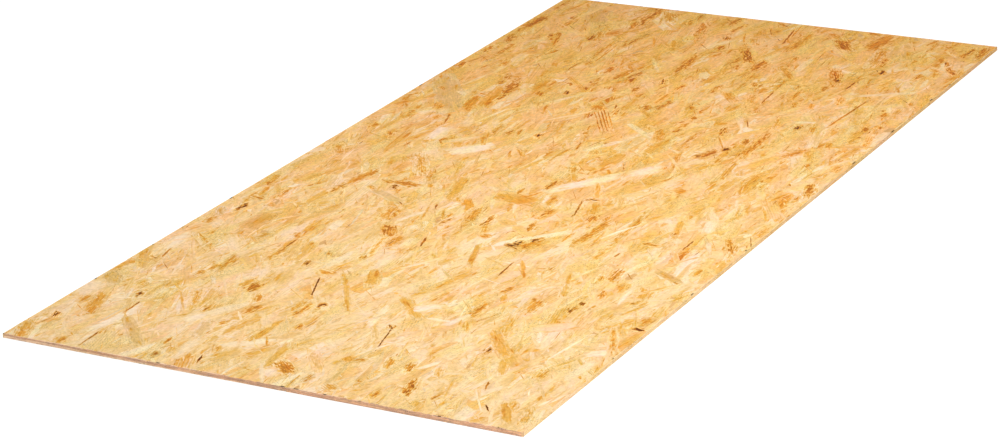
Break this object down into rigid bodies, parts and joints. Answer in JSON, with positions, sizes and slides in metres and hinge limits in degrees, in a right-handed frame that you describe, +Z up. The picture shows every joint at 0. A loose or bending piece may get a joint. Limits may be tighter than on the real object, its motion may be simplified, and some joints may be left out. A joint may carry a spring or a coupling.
{
  "type": "osb board",
  "caption": "Flat rectangular sheet of oriented strand board with square sawn edges, for sheathing walls, roofs and floors.",
  "frame": {"origin": "middle of the underside", "axes": "+X along the sheet's length, +Y across its width, +Z up through its thickness"},
  "size_m": [2.5, 1.25, 0.01],
  "materials": {
    "strand_board": "bare pressed wood strands, matt, with a faint sheen from the resin"
  },
  "bodies": {
    "root": {"osb_board": "strand_board"}
  },
  "joints": []
}
